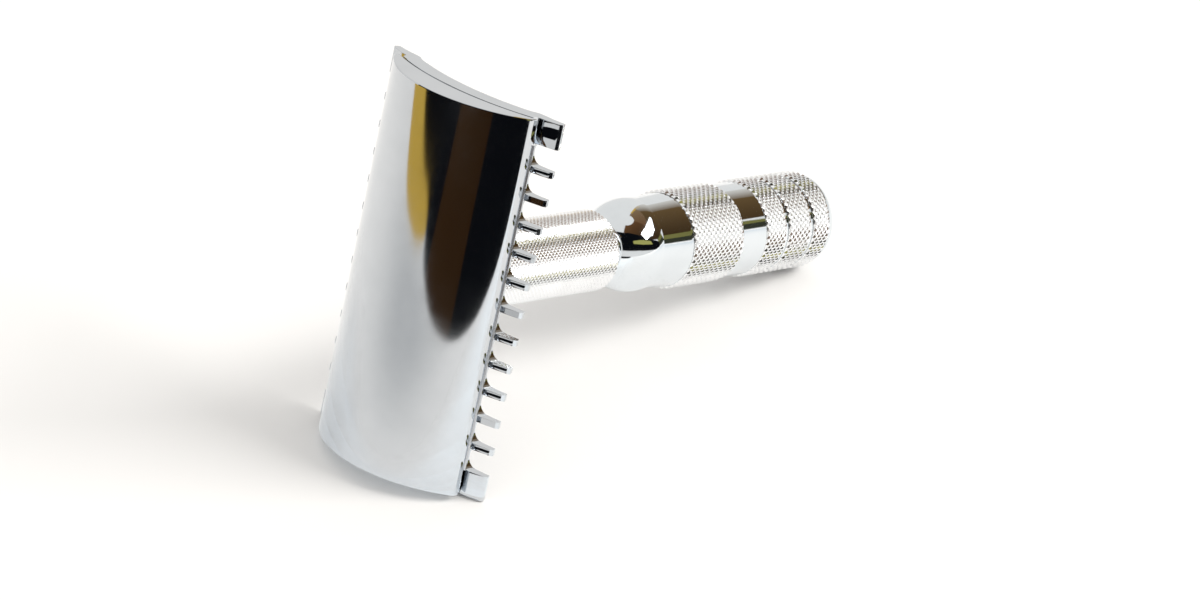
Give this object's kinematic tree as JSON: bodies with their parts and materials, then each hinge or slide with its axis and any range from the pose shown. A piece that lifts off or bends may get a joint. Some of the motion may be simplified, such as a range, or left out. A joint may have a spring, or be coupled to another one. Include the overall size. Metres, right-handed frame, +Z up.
{
  "type": "safety razor",
  "caption": "Open-comb double-edge safety razor with a curved cap, toothed guard plate and a short knurled metal handle that screws apart, lying on its comb and handle end.",
  "frame": {"origin": "centre of the razor's bounding box, on the table plane it rests on", "axes": "+Z up from the table; +Y from the head towards the handle's end, along the table under the handle; +X across the head"},
  "size_m": [0.0254, 0.0744, 0.044],
  "materials": {
    "chrome": "polished nickel-chrome plate",
    "steel": "turned steel",
    "blade_steel": "polished strip steel",
    "brass": "turned brass"
  },
  "bodies": {
    "rear_half": {"rear_tube": "steel", "grip_sleeve": "chrome", "waist_ring": "chrome", "rear_band_front": "chrome", "groove_ring_front": "chrome", "rear_band_middle": "chrome", "groove_ring_back": "chrome", "end_cap": "chrome", "end_plug": "steel"},
    "shoulder": {"shoulder_ring": "chrome"},
    "front_half": {"front_core": "steel", "neck_sleeve": "chrome", "bead": "chrome", "neck_collar": "chrome", "thread_insert": "brass"},
    "comb": {"comb_plate": "chrome"},
    "cap": {"cap": "chrome", "cap_stud": "steel", "locating_pin_upper": "steel", "locating_pin_lower": "steel"},
    "blade": {"blade": "blade_steel"}
  },
  "joints": [
    {"name": "front_travel", "type": "slide", "parent": "rear_half", "child": "shoulder", "axis": [0, -0.9672, 0.254], "range_m": [0, 0.005]},
    {"name": "front_turn", "type": "hinge", "parent": "shoulder", "child": "front_half", "pos_m": [0, -0.02609, 0.02153], "axis": [0, -0.9672, 0.254], "range_deg": [0, 1800]},
    {"name": "head_turn", "type": "hinge", "parent": "front_half", "child": "comb", "pos_m": [0, -0.02609, 0.02153], "axis": [0, -0.9672, 0.254], "range_deg": [0, 1440]},
    {"name": "cap_lift", "type": "slide", "parent": "comb", "child": "cap", "axis": [0, -0.9672, 0.254], "range_m": [0, 0.0032]},
    {"name": "blade_lift", "type": "slide", "parent": "comb", "child": "blade", "axis": [0, -0.9672, 0.254], "range_m": [0, 0.0016]}
  ],
  "couplings": [
    {"joint": "front_turn", "follows": "front_travel", "rad_per_m": 6283.2},
    {"joint": "head_turn", "follows": "cap_lift", "rad_per_m": 7854},
    {"joint": "blade_lift", "follows": "cap_lift", "ratio": 0.5}
  ]
}
